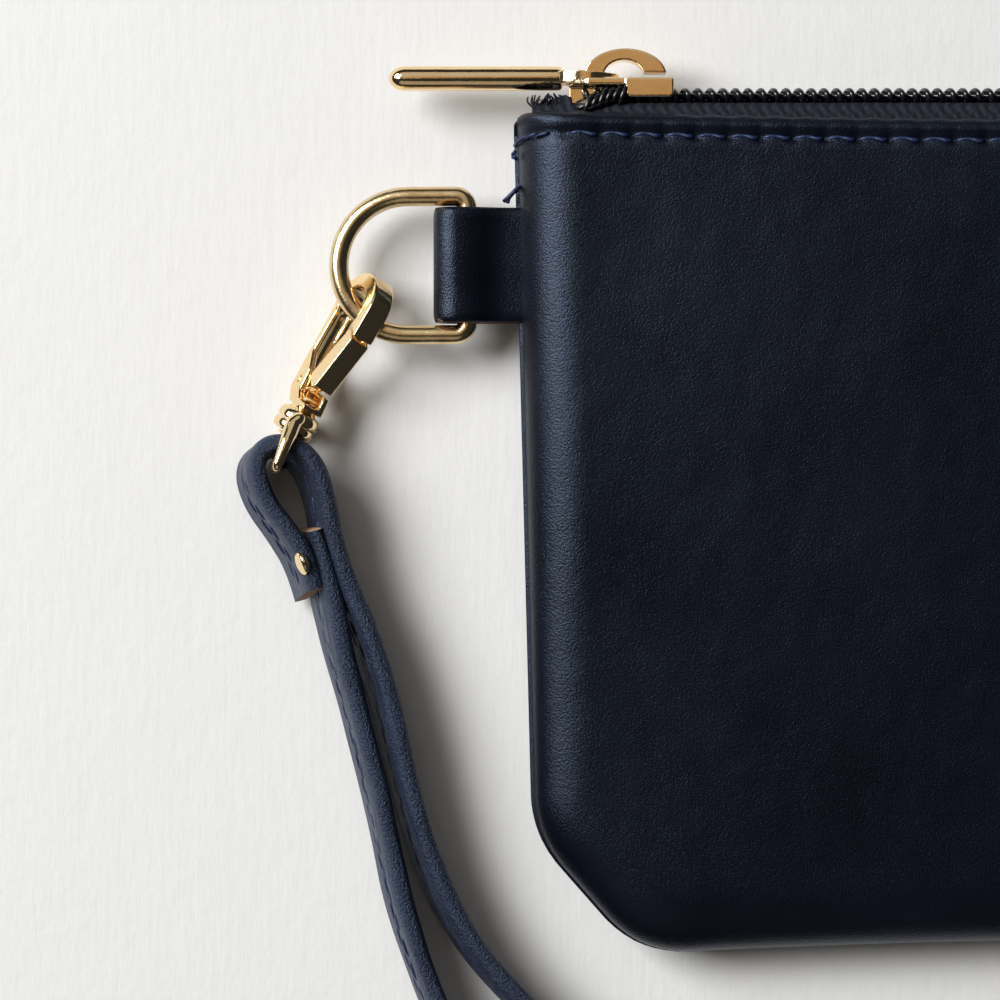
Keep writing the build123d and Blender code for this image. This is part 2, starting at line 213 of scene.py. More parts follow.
def prism(outline, low, high, place):
    """A flat piece cut from a closed outline, between two depths; place moves it into the model."""
    mesh = bpy.data.meshes.new("prism")
    n = len(outline)
    verts = [place @ Vector((x, y, z)) for z in (low, high) for x, y in outline]
    faces = [tuple(reversed(range(n))), tuple(range(n, 2 * n))]
    faces += [(i, (i + 1) % n, n + (i + 1) % n, n + i) for i in range(n)]
    mesh.from_pydata(verts, [], faces)
    return mesh


def ring_prism(outer, inner, low, high, place):
    """A flat piece between two outlines that have the same number of points."""
    n = len(outer)
    verts = [place @ Vector((x, y, z))
             for z in (low, high) for loop in (outer, inner) for x, y in loop]
    faces = []
    for i in range(n):
        j = (i + 1) % n
        faces += [(i, n + i, n + j, j), (2 * n + i, 2 * n + j, 3 * n + j, 3 * n + i)]
        faces += [(i, j, 2 * n + j, 2 * n + i), (n + i, 3 * n + i, 3 * n + j, n + j)]
    mesh = bpy.data.meshes.new("ring_prism")
    mesh.from_pydata(verts, [], faces)
    return mesh


def cast(name, solids, material, voxel, rounds):
    """Melts solids (in millimetres) into one cast piece with softly rounded edges."""
    bm = bmesh.new()
    for solid in solids:
        bm.from_mesh(solid)
        bpy.data.meshes.remove(solid)
    bmesh.ops.recalc_face_normals(bm, faces=bm.faces)
    raw = bpy.data.meshes.new(name + "_raw")
    bm.to_mesh(raw)
    bm.free()
    holder = add_object(name + "_raw", raw)
    remesh = holder.modifiers.new("remesh", "REMESH")
    remesh.mode = "VOXEL"
    remesh.voxel_size = voxel
    soften = holder.modifiers.new("soften", "SMOOTH")
    soften.factor = 0.6
    soften.iterations = rounds
    view = bpy.context.evaluated_depsgraph_get()
    mesh = bpy.data.meshes.new_from_object(holder.evaluated_get(view))
    bpy.data.objects.remove(holder)
    mesh.name = name
    mesh.transform(Matrix.Scale(MM, 4))
    dress(mesh, material)
    return add_object(name, mesh)


def merge(name, objects):
    """Joins objects of one material into one piece."""
    material = objects[0].data.materials[0]
    bm = bmesh.new()
    for o in objects:
        bm.from_mesh(o.data)
        bpy.data.objects.remove(o)
    mesh = bpy.data.meshes.new(name)
    bm.to_mesh(mesh)
    bm.free()
    mesh.materials.append(material)
    return add_object(name, mesh)


def lathe(name, profile, place, material, sides):
    """A turned piece: profile is (distance along the axis, radius); the axis is place's Z."""
    verts = []
    for z, r in profile:
        for k in range(sides):
            a = 2 * math.pi * k / sides
            verts.append(place @ Vector((math.cos(a) * r, math.sin(a) * r, z)))
    faces = grid_faces(len(profile), sides, wrap_cols=True)
    faces += end_caps(len(profile), sides)
    obj = mesh_object(name, verts, faces, material)
    for polygon in obj.data.polygons:
        if len(polygon.vertices) > 4:
            polygon.use_smooth = False
    return obj


def rounded_profile(z0, z1, radius, edge, steps=4):
    """Profile of a disc or bar with rounded rims."""
    low = [(z0 + edge - edge * math.cos(a), radius - edge + edge * math.sin(a))
           for a in [math.pi / 2 * k / steps for k in range(steps + 1)]]
    high = [(z0 + z1 - z, r) for z, r in reversed(low)]
    return low + high


# ---- materials
def new_material(name, color, roughness, metallic=0.0, specular=0.5):
    """A Principled material, and the object coordinates that its textures are laid out in."""
    material = bpy.data.materials.new(name)
    material.use_nodes = True
    tree = material.node_tree
    shader = tree.nodes["Principled BSDF"]
    shader.inputs["Base Color"].default_value = (*color, 1)
    shader.inputs["Roughness"].default_value = roughness
    shader.inputs["Metallic"].default_value = metallic
    shader.inputs["Specular IOR Level"].default_value = specular
    place = add_node(tree, "ShaderNodeTexCoord").outputs["Object"]
    return material, tree, shader, place


def add_node(tree, kind, **values):
    node = tree.nodes.new(kind)
    for key, value in values.items():
        if key in node.inputs:
            node.inputs[key].default_value = value
        else:
            setattr(node, key, value)
    return node


def texture(tree, place, kind, **values):
    node = add_node(tree, "ShaderNodeTex" + kind, **values)
    tree.links.new(place, node.inputs["Vector"])
    return node


def colour_by(tree, shader, source, low, high):
    """Base colour from a texture's value, between two stops of (position, colour)."""
    node = add_node(tree, "ShaderNodeValToRGB")
    for element, (position, color) in zip(node.color_ramp.elements, (low, high)):
        element.position = position
        element.color = (*color, 1)
    tree.links.new(source, node.inputs["Fac"])
    tree.links.new(node.outputs["Color"], shader.inputs["Base Color"])


def roughness_by(tree, shader, source, low, high):
    node = add_node(tree, "ShaderNodeMapRange", **{"To Min": low, "To Max": high})
    tree.links.new(source, node.inputs["Value"])
    tree.links.new(node.outputs["Result"], shader.inputs["Roughness"])


def bump_chain(tree, shader, layers):
    """Stacks bump layers: (height socket, strength, distance in metres)."""
    last = None
    for height, strength, distance in layers:
        bump = add_node(tree, "ShaderNodeBump", Strength=strength, Distance=distance)
        tree.links.new(height, bump.inputs["Height"])
        if last:
            tree.links.new(last.outputs["Normal"], bump.inputs["Normal"])
        last = bump
    tree.links.new(last.outputs["Normal"], shader.inputs["Normal"])


def leather_material(name, dark, light, roughness, specular, pores, grain):
    """pores is the depth of the grain, and grain how many cells there are to a length."""
    material, tree, shader, place = new_material(name, dark, roughness, specular=specular)
    cloud = texture(tree, place, "Noise", Scale=55.0, Detail=6.0, Roughness=0.6)
    fine = texture(tree, place, "Noise", Scale=5200.0 * grain, Detail=3.0, Roughness=0.7)
    cells = texture(tree, place, "Voronoi", Scale=3600.0 * grain, Randomness=1.0)
    creases = texture(tree, place, "Noise", Scale=260.0, Detail=5.0, Roughness=0.55, Distortion=1.2)
    mix = add_node(tree, "ShaderNodeMath", operation="MULTIPLY_ADD")
    tree.links.new(fine.outputs["Fac"], mix.inputs[0])
    mix.inputs[1].default_value = 0.45
    tree.links.new(cloud.outputs["Fac"], mix.inputs[2])
    colour_by(tree, shader, mix.outputs[0], (0.50, dark), (0.92, light))
    roughness_by(tree, shader, cloud.outputs["Fac"], roughness - 0.07, roughness + 0.08)
    shader.inputs["Specular Tint"].default_value = (0.56, 0.71, 1.0, 1)
    shader.inputs["Sheen Weight"].default_value = 0.03
    shader.inputs["Sheen Roughness"].default_value = 0.4
    shader.inputs["Sheen Tint"].default_value = (0.55, 0.65, 1.0, 1)
    bump_chain(tree, shader, [
        (creases.outputs["Fac"], 0.04, 0.0010 * pores),
        (cells.outputs["Distance"], 0.36, -0.00022 * pores),
        (fine.outputs["Fac"], 0.60, 0.00018 * pores),
    ])
    return material


def metal_material(name, light, dark, roughness, scratch):
    material, tree, shader, place = new_material(name, light, roughness, metallic=1.0)
    haze = texture(tree, place, "Noise", Scale=420.0, Detail=5.0, Roughness=0.6)
    grit = texture(tree, place, "Noise", Scale=5200.0, Detail=3.0, Roughness=0.6)
    colour_by(tree, shader, haze.outputs["Fac"], (0.35, dark), (0.65, light))
    roughness_by(tree, shader, haze.outputs["Fac"], roughness * 0.7, roughness * 1.4)
    bump_chain(tree, shader, [
        (haze.outputs["Fac"], 0.10, 0.0004),
        (grit.outputs["Fac"], scratch, 0.00006),
    ])
    return material


def fibre_material(name, color, roughness, specular, grain, low, high, bump):
    """One noise gives the colour between two stops, and the bump (strength, distance)."""
    material, tree, shader, place = new_material(name, color, roughness, specular=specular)
    fibre = texture(tree, place, "Noise", **grain)
    colour_by(tree, shader, fibre.outputs["Fac"], low, high)
    bump_chain(tree, shader, [(fibre.outputs["Fac"], *bump)])
    return material


def thread_material(name, dark, light):
    grain = {"Scale": 6500.0, "Detail": 3.0}
    return fibre_material(name, light, 0.45, 0.5, grain,
                          (0.35, dark), (0.65, light), (0.5, 0.00008))


def woven_material():
    material, tree, shader, place = new_material(
        "zip_tape_weave", (0.012, 0.02, 0.05), 0.75, specular=0.35)
    wave = texture(tree, place, "Wave", Scale=420.0, Distortion=1.5, Detail=2.0,
                   bands_direction="DIAGONAL")
    fibre = texture(tree, place, "Noise", Scale=5200.0, Detail=4.0)
    colour_by(tree, shader, wave.outputs["Fac"], (0.2, (0.0025, 0.004, 0.009)),
              (0.9, (0.009, 0.013, 0.027)))
    bump_chain(tree, shader, [
        (wave.outputs["Fac"], 0.5, 0.0002),
        (fibre.outputs["Fac"], 0.5, 0.0001),
    ])
    return material


LEATHER_MAT = leather_material(
    "navy_leather", (0.0016, 0.0021, 0.0046), (0.0032, 0.0041, 0.0090), 0.30, 0.37, 0.44, 0.95)
STRAP_MAT = leather_material(
    "strap_leather", (0.0022, 0.0035, 0.0090), (0.015, 0.021, 0.046), 0.37, 0.80, 2.4, 0.80)
RAW_MAT = fibre_material(              # the tan cut edge and flesh side of the leather
    "raw_edge", (0.42, 0.25, 0.13), 0.9, 0.2, {"Scale": 1800.0, "Detail": 6.0, "Roughness": 0.7},
    (0.3, (0.25, 0.13, 0.07)), (0.7, (0.62, 0.42, 0.26)), (0.7, 0.0004))
GOLD_MAT = metal_material("polished_gold", (1.0, 0.77, 0.46), (0.97, 0.71, 0.38), 0.11, 0.10)
SATIN_MAT = metal_material("satin_gold", (0.88, 0.68, 0.40), (0.74, 0.54, 0.28), 0.20, 0.30)
STEEL_MAT = metal_material("spring_steel", (0.55, 0.55, 0.57), (0.45, 0.45, 0.47), 0.30, 0.20)
THREAD_MAT = thread_material("blue_thread", (0.002, 0.004, 0.014), (0.013, 0.036, 0.135))
NAVY_THREAD_MAT = thread_material("navy_thread", (0.004, 0.008, 0.032), (0.012, 0.024, 0.10))
TAPE_MAT = woven_material()
NYLON_MAT = fibre_material(
    "zip_coil_nylon", (0.004, 0.004, 0.006), 0.22, 0.6, {"Scale": 900.0, "Detail": 3.0},
    (0.3, (0.002, 0.002, 0.003)), (0.8, (0.010, 0.010, 0.014)), (0.15, 0.0002))


# ---- pouch outline
CORNERS = [(95.2, 55.2), (92.8, -40.0), (BASE_HALF, BASE_Y), (0.0, BASE_Y)]
CORNER_R = 15.0
RIM = 7.8                              # width of the soft rounding towards the seam
HEM_FOLD = 1.3
BASE_THIN = 1.3                        # how much lower the front panel lies near the base
HEM_FOOT_Y = 47.0
MOUTH_R = 2.4                          # rounding of the mouth's ends, along X
MOUTH_DROP = 2.0                       # and along Y
PANEL_COLUMNS = 340
FRONT_INSET = 0.45                     # the front panel's edge lies this far inside the back one's


def side_lines():
    lines = []
    for (x0, y0), (x1, y1) in zip(CORNERS, CORNERS[1:]):
        length = math.hypot(x1 - x0, y1 - y0)
        lines.append((x0, y0, (y1 - y0) / length, -(x1 - x0) / length))
    return lines


LINES = side_lines()


def crossing(first, second):
    """Where two of the outline's lines, both moved inwards by the corner radius, cross."""
    ax, ay, an, am = first
    bx, by, bn, bm = second
    c1 = an * ax + am * ay + CORNER_R
    c2 = bn * bx + bm * by + CORNER_R
    det = an * bm - am * bn
    return (c1 * bm - am * c2) / det, (an * c2 - c1 * bn) / det


PIVOTS = [crossing(one, two) for one, two in zip(LINES, LINES[1:])]


def edge_distance(x, y):
    """How far a point lies inside the pouch's outline, with the base taken as straight."""
    x = abs(x)
    inside = [nx * (x - x0) + ny * (y - y0) for x0, y0, nx, ny in LINES]
    shortest = min(inside)
    if shortest >= CORNER_R:
        return shortest
    for pivot, one, two in zip(PIVOTS, LINES, LINES[1:]):
        dx, dy = x - pivot[0], y - pivot[1]
        along_one = dy * one[2] - dx * one[3]
        along_two = dy * two[2] - dx * two[3]
        if along_one > 0 > along_two and (one[2] * dx + one[3] * dy) < 0:
            return CORNER_R - math.hypot(dx, dy)
    return shortest


def half_width(y):
    low, high = 40.0, 97.0
    for _ in range(40):
        mid = (low + high) / 2
        if edge_distance(mid, y) > 0:
            low = mid
        else:
            high = mid
    return low


def true_y(x, y):
    """Turns the straight-based outline into the real one: base arched up, mouth sagging in."""
    v = (y - BASE_Y) / (MOUTH_Y - BASE_Y)
    lift = (BASE_MID_Y - BASE_Y) * max(0.0, 1 - (x / BASE_HALF) ** 2) * (1 - v) ** 2
    sag = MOUTH_SAG * (1 - (x / HALF_W) ** 2) * v ** 3
    past = min(1.0, max(0.0, abs(x) - HALF_W + MOUTH_R) / MOUTH_R)
    drop = MOUTH_DROP * (1 - math.sqrt(1 - past ** 2)) * smooth((y - MOUTH_Y + 7) / 7)
    return y + lift - sag - drop


def hem_edge_y(x):
    return MOUTH_Y - MOUTH_SAG * (1 - (x / HALF_W) ** 2)


def smooth(t):
    t = max(0.0, min(1.0, t))
    return t * t * (3 - 2 * t)


def wobble(x, y, scale, seed=0.0):
    return noise.noise(Vector((x * scale + seed, y * scale - seed, seed * 1.7)))


def stitch_phase(x):
    """0 at a stitch hole, 0.5 midway between two."""
    return (x / STITCH_PITCH) % 1.0


def panel_height(x, y, side):
    """Height of a panel's outer face above the seam's plane."""
    sag = BASE_THIN * smooth((30 - y) / 85)
    body = SEAM_Z - 0.1 - (sag if side > 0 else 0.0)
    d = max(0.0, edge_distance(x, y))
    rim = math.sqrt(max(0.0, 1 - (1 - min(1.0, d / RIM)) ** 2))
    h = body * rim
    if side > 0:
        fade = smooth(d / RIM)
        h += fade * (0.30 * wobble(x, y, 0.028, 3.0) + 0.10 * wobble(x, y, 0.09, 9.0))
        h += fade * 0.045 * wobble(x, y, 0.33, 1.0)
    return h


def hem_relief(x, down):
    """What the stitches do to the leather near the mouth: a groove and a pucker at each hole."""
    t = stitch_phase(x)
    near = math.exp(-((down - HEM_INSET) / 0.75) ** 2)
    hole = math.exp(-(min(t, 1 - t) * STITCH_PITCH / 0.7) ** 2)
    roll = math.exp(-((down - 1.0) / 0.9) ** 2)
    return -near * (0.22 + 0.40 * hole) + roll * 0.12 * (1 - hole)


def panel_rows():
    rows = [BASE_Y + 0.004]
    rows += [BASE_Y + 15 * (1 - math.cos(math.pi / 2 * k / 16)) for k in range(1, 17)]
    y = rows[-1]
    while y < MOUTH_Y - 7.0:
        y += 0.95
        rows.append(y)
    start = rows[-1]
    rows += [start + (MOUTH_Y - HEM_FOLD - start) * k / 20 for k in range(1, 21)]
    return rows


EDGE_STEPS = [0.0, 0.04, 0.15, 0.35, 0.6, 0.95, 1.4, 1.9, 2.5, 3.2, 4.0, 4.9, 5.9, 6.9, RIM]
SEAM_FLANGE = ((0.0, -0.3), (0.02, 0.1), (0.16, 0.2), (1.6, 0.2))   # inwards, above the seam


def columns(half):
    """Places across a panel of that half width, closer together near its edges."""
    left = [-(half - e) for e in EDGE_STEPS]
    inner = half - EDGE_STEPS[-1]
    middle = [-inner + 2 * inner * k / PANEL_COLUMNS for k in range(1, PANEL_COLUMNS)]
    return left + middle + [-x for x in reversed(left)]


def make_panel(name, side, inset):
    """A panel with its soft rim, and the hem folded in along the mouth."""
    verts = []
    rows = panel_rows()
    for y in rows:
        half = half_width(y) - inset
        for x in columns(half):
            h = panel_height(x * (half + inset) / half, y, side)
            down = MOUTH_Y - y
            if side > 0 and down < 7:
                h += hem_relief(x, down) * min(1.0, h / 3)
            ty = true_y(x, y)
            verts.append((x, ty, SEAM_Z + side * max(h, 0.04)))
    top = rows[-1]
    half = half_width(top) - inset
    xs = columns(half)
    for k in range(1, 9):
        a = math.pi * k / 8
        for x in xs:
            scallop = 0.16 * (1 - abs(math.cos(math.pi * stitch_phase(x))) ** 2)
            full = panel_height(x, top, side)
            fold = min(HEM_FOLD, full * 0.46)
            y = true_y(x, top) + (HEM_FOLD + scallop) * math.sin(a)
            h = full - fold * (1 - math.cos(a))
            verts.append((x, y, SEAM_Z + side * max(h, 0.02)))
    for k in range(1, 4):
        y = top + (HEM_FOOT_Y - top) * k / 3
        for x in xs:
            full = panel_height(x, top, side)
            fold = min(HEM_FOLD, full * 0.46)
            h = max(full - 2 * fold, 0.02)
            verts.append((x * 0.994, true_y(x, y), SEAM_Z + side * h))
    cols = len(xs)
    faces = grid_faces(len(verts) // cols, cols, flip=side < 0)
    if side < 0:
        for sign in (-1, 1):
            first = len(verts)
            for y in rows:
                half = half_width(y) - inset
                for inward, z in SEAM_FLANGE:
                    verts.append((sign * (half - inward), true_y(sign * half, y), SEAM_Z + z))
            strip = grid_faces(len(rows), len(SEAM_FLANGE), flip=sign > 0)
            faces += [tuple(first + k for k in face) for face in strip]
    return mesh_object(name, verts, faces, LEATHER_MAT)


carry(make_panel("front_leather", 1, FRONT_INSET), "pouch", "front_panel")
carry(make_panel("back_leather", -1, 0.0), "pouch", "back_panel")


# ---- hem stitches
def hem_stitches(side):
    """Arched stitches that dip into a hole every pitch, along the whole hem."""
    parts = []
    x = -math.floor(90.0 / STITCH_PITCH) * STITCH_PITCH
    while x < 88:
        y0 = hem_edge_y(x) - HEM_INSET
        y1 = hem_edge_y(x + STITCH_PITCH) - HEM_INSET
        points = []
        for k in range(13):
            t = k / 12
            px = x + 0.3 + (STITCH_PITCH - 0.6) * t
            py = y0 + (y1 - y0) * t + 0.30 * math.sin(math.pi * min(1.0, t * 1.3)) - 0.12
            base = panel_height(px, MOUTH_Y - HEM_INSET, 1) - 0.30
            dip = 0.60 * (abs(2 * t - 1)) ** 6
            h = base + 0.04 + 0.20 * smooth((t - 0.45) / 0.35) - dip
            points.append((px, py, SEAM_Z + side * h))
        radii = [0.22 + 0.07 * smooth((k / 12 - 0.5) / 0.3) for k in range(13)]
        parts.append(tube_data(points, radii, sides=8, flat=0.8))
        x += STITCH_PITCH
    return join_data(parts)


def side_wrap():
    """The stitches that close the hem's end over the left side, and the loose tail below them."""
    parts = []
    for x, y, reach in ((-90.6, 52.3, 1.7), (-92.2, 52.2, 1.5), (-93.5, 52.0, 1.1),
                        (-94.4, 51.6, 0.7)):
        points = []
        for k in range(9):
            t = k / 8
            px = x - reach * t
            h = panel_height(px, MOUTH_Y - 3.0, 1)
            points.append((px, y - 0.45 * t, SEAM_Z + h + 0.08 - 0.5 * abs(2 * t - 1) ** 4))
        parts.append(tube_data(points, 0.2, sides=8))
    knot = [(-95.0, 50.2, 8.4), (-95.35, 49.9, 8.0), (-95.3, 49.4, 7.6), (-94.9, 49.2, 8.0),
            (-95.1, 49.7, 8.5)]
    tail = [(-94.1, 45.7, 7.4), (-94.8, 45.3, 8.2), (-95.4, 44.7, 8.2), (-96.0, 44.1, 7.9),
            (-96.5, 43.7, 7.5)]
    short_tail = [(-94.6, 45.2, 7.6), (-95.2, 44.8, 7.8), (-95.8, 44.1, 7.8), (-96.0, 43.4, 7.7)]
    for line, radius in ((knot, 0.22), (tail, 0.27), (short_tail, 0.24)):
        parts.append(tube_data(line, radius, sides=8))
    return join_data(parts)


front_data = join_data([hem_stitches(1), side_wrap()])
for label, data in (("front", front_data), ("back", hem_stitches(-1))):
    stitches = mesh_object(f"{label}_stitches", *data, THREAD_MAT)
    carry(stitches, "pouch", f"{label}_hem_thread")

# ---- zip tapes and coils
TAPE_T = 0.5
TAPE_OUT = 3.65                        # from the middle plane to the tape's upright run
TAPE_TOP_Y = 56.25
TAPE_END = 92.0
COIL_PITCH = 1.66
COIL_R = 0.41
COIL_MID_Y = 57.45
COIL_OUT = 1.72
COIL_END = 86.0
TAPE_STEPS = 760
COIL_STEPS = 16                        # points to a turn


def tape_section():
    """Middle line of a tape's section (Y, distance from the middle plane)."""
    pts = [(46.0, TAPE_OUT), (50.0, TAPE_OUT), (53.0, TAPE_OUT), (54.4, TAPE_OUT), (55.1, TAPE_OUT)]
    pts += [(55.1 + 1.15 * math.sin(a), TAPE_OUT - 1.15 * (1 - math.cos(a)))
            for a in [math.pi / 2 * k / 6 for k in range(1, 7)]]
    pts += [(TAPE_TOP_Y, 1.6), (TAPE_TOP_Y, 0.45)]
    return pts


def make_tape(name, side):
    section = tape_section()
    normals = []
    for i, _ in enumerate(section):
        a, b = section[max(i - 1, 0)], section[min(i + 1, len(section) - 1)]
        ty, tz = b[0] - a[0], b[1] - a[1]
        length = math.hypot(ty, tz)
        normals.append((-tz / length, ty / length))
    run = [0.0]
    for a, b in zip(section, section[1:]):
        run.append(run[-1] + math.hypot(b[0] - a[0], b[1] - a[1]))
    verts = []
    for i in range(TAPE_STEPS + 1):
        x = -TAPE_END + 2 * TAPE_END * i / TAPE_STEPS
        ring = []
        for (y, out), (ny, nz), s in zip(section, normals, run):
            ridge = 0.05 * math.sin(2 * math.pi * (x / 0.95 + abs(((s / 1.6) % 1) - 0.5) * 1.6))
            off = TAPE_T / 2 + ridge
            ring.append((y + ny * off, out + nz * off))
        inner = [(y - ny * TAPE_T / 2, out - nz * TAPE_T / 2)
                 for (y, out), (ny, nz) in zip(section, normals)]
        ring += list(reversed(inner))
        for y, out in ring:
            verts.append((x, y, SEAM_Z + side * out))
    faces = grid_faces(TAPE_STEPS + 1, 2 * len(section), wrap_cols=True, flip=side > 0)
    return mesh_object(name, verts, faces, TAPE_MAT)


def make_coil(name, side):
    """One row of the zip: a round filament wound in flat loops round a cord."""
    turns = int(2 * COIL_END / COIL_PITCH)
    start = -COIL_END + (COIL_PITCH / 2 if side < 0 else 0)
    points = []
    for k in range(turns * COIL_STEPS):
        a = 2 * math.pi * k / COIL_STEPS
        x = start + COIL_PITCH * k / COIL_STEPS
        y = COIL_MID_Y + 0.72 * math.cos(a)
        out = COIL_OUT + 1.32 * math.sin(a)
        points.append((x, y, SEAM_Z + side * out))
    core = [(x, COIL_MID_Y, SEAM_Z + side * COIL_OUT) for x in (-COIL_END + 1, COIL_END - 1)]
    parts = [tube_data(points, COIL_R, sides=8), tube_data(core, 0.42, sides=8)]
    return mesh_object(name, *join_data(parts), NYLON_MAT)


def splayed_end():
    """The last loops of the coil, pulled out of line below the slider's nose."""
    rng = random.Random(5)
    points = []
    turns = 6
    for k in range(turns * COIL_STEPS + 1):
        t = k / (turns * COIL_STEPS)
        a = 2 * math.pi * k / COIL_STEPS
        swell = 1.15 + 0.25 * math.sin(2.3 * a / 6.28 + 1)
        cx = -80.4 - 5.6 * t
        cy = 57.5 - 1.3 * t + 0.25 * math.sin(5 * t)
        z = 9.4 + 0.7 * t + 1.1 * math.sin(a)
        points.append((cx + 0.45 * math.cos(a + 0.6), cy + swell * math.cos(a) * 0.95, z))
    cord = [(-80.0, 57.2, 9.0), (-82.0, 57.3, 9.6), (-84.2, 56.7, 10.2), (-86.0, 55.9, 10.4),
            (-87.4, 55.4, 9.8)]
    loose = [(x + 0.5 * rng.random(), y - 0.5, z + 0.6) for x, y, z in cord]
    return join_data([tube_data(points, 0.36, sides=10), tube_data(cord, 0.4, sides=8),
                      tube_data(loose, 0.2, sides=8)])


def frayed_end():
    """The tape's raw end, folded over the corner, with a fringe of fibres."""
    rng = random.Random(3)
    parts = []
    cols, rows = 26, 7
    verts = []
    for i in range(rows):
        v = i / (rows - 1)
        for j in range(cols):
            u = j / (cols - 1)
            x = -87.6 - 5.2 * u
            lump = 0.9 * math.sin(7 * u + 0.5) * math.exp(-((u - 0.45) / 0.35) ** 2)
            crest = 57.0 + lump - 0.9 * u * u
            y = 54.2 + (crest - 54.2) * v + (0.25 * rng.random() if i == rows - 1 else 0.0)
            verts.append((x, y, 10.2 - 0.9 * v * v + 0.3 * math.sin(9 * u + 3 * v)))
    verts += [(x + 0.1, y - 0.05, z - 0.55) for x, y, z in verts]
    n = cols * rows
    faces = grid_faces(rows, cols)
    faces += [tuple(k + n for k in reversed(f)) for f in faces]
    rim = [*range(cols), *range(2 * cols - 1, n, cols), *range(n - 2, n - cols - 1, -1),
           *range((rows - 2) * cols, 0, -cols)]
    for a, b in zip(rim, rim[1:] + rim[:1]):
        faces.append((b, a, a + n, b + n))
    parts.append((verts, faces))
    for _ in range(34):
        x = -88.2 - 4.6 * rng.random()
        z = 8.2 + 2.2 * rng.random()
        length = 1.1 + 1.0 * rng.random()
        lean = -0.7 + 1.1 * rng.random()
        points = []
        for k in range(6):
            t = k / 5
            points.append((x + lean * t + 0.25 * math.sin(5 * t + x), 55.6 + length * t,
                           z + 0.5 * math.sin(3 * t + z)))
        parts.append(tube_data(points, [0.2 * (1 - 0.5 * k / 5) for k in range(6)], sides=5))
    return join_data(parts)


for label, sign in (("front", 1), ("back", -1)):
    carry(make_tape(f"{label}_tape", sign), "pouch", f"zip_tape_{label}")
    carry(make_coil(f"{label}_coil", sign), "pouch", f"zip_coil_{label}")
carry(mesh_object("splayed_coil", *splayed_end(), NYLON_MAT), "pouch")
carry(mesh_object("frayed_tape", *frayed_end(), TAPE_MAT), "pouch")


def make_tack(name, x):
    """Bar tack across the coils at one end of the zip: thread wound side by side."""
    parts = []
    for i in range(4):
        loop = []
        for k in range(24):
            a = 2 * math.pi * k / 24
            along = x + 0.3 * (i - 1.5) + 0.05 * math.sin(3 * a)
            loop.append((along, 56.4 + 0.8 * math.cos(a), SEAM_Z + 2.4 * math.sin(a)))
        parts.append(tube_data(loop, 0.2, sides=6, closed=True))
    return mesh_object(name, *join_data(parts), NAVY_THREAD_MAT)


for label, tack_x in (("left", -89.2), ("right", 87.0)):
    carry(make_tack(f"{label}_tack", tack_x), "pouch", f"zip_tack_{label}")

# ---- slider
FACING_Y = Matrix(((1, 0, 0, 0), (0, 0, 1, 0), (0, 1, 0, 0), (0, 0, 0, 1)))   # outline in XZ
IN_XY = Matrix.Identity(4)             # outline in XY, depth in Z


def slider_plate(nose, nose_half, shoulder, heel, half, radius):
    """Outline (X, Z) of one of the slider's two plates, narrower at its nose."""
    upper = [(heel, SEAM_Z + half), (shoulder, SEAM_Z + half), (nose, SEAM_Z + nose_half)]
    return round_polygon([(x, 2 * SEAM_Z - z) for x, z in reversed(upper)] + upper, radius)


def make_slider():
    top = slider_plate(-87.8, 2.3, -85.5, -74.3, 3.9, 1.2)
    low = slider_plate(-87.8, 1.6, -84.5, -74.6, 3.1, 1.0)
    solids = [prism(top, 58.75, 59.65, FACING_Y), prism(low, 54.6, 55.4, FACING_Y)]
    wall = [(-80.5, 59.7), (-80.5, 57.6), (-80.0, 57.1), (-74.6, 57.1), (-74.2, 57.5),
            (-74.2, 59.7)]
    for mid in (SEAM_Z - 3.6, SEAM_Z + 3.6):
        solids.append(prism(round_polygon(wall, 0.3), mid - 0.45, mid + 0.45, IN_XY))
    nose = [(-87.9, 59.6), (-87.9, 55.2), (-87.25, 55.0), (-86.8, 56.6), (-85.4, 57.2),
            (-83.5, 58.3), (-81.0, 58.7), (-81.0, 59.6)]
    solids.append(prism(round_polygon(nose, 0.3), SEAM_Z - 1.6, SEAM_Z + 1.9, IN_XY))
    outer = [(-80.45 + 5.45 * math.cos(a), 60.2 + 3.65 * math.sin(a))
             for a in [math.pi * (0.035 + 0.965 * k / 40) for k in range(41)]]
    inner = [(-80.65 + 2.6 * math.cos(a), 60.35 + 1.95 * math.sin(a))
             for a in [math.pi * (1.0 - 0.95 * k / 30) for k in range(31)]]
    arch = outer + [(-85.9, 59.3), (-83.25, 59.3)] + inner + [(-77.9, 60.65)]
    solids.append(prism(arch, SEAM_Z - 1.35, SEAM_Z + 1.35, IN_XY))
    slider = cast("slider_metal", solids, GOLD_MAT, 0.11, 5)
    carry(slider, "slider", "slider_body")


make_slider()


# ---- puller
PULLER_Y = 60.0
PULLER_R = 1.62
PULLER_SIDES = 56


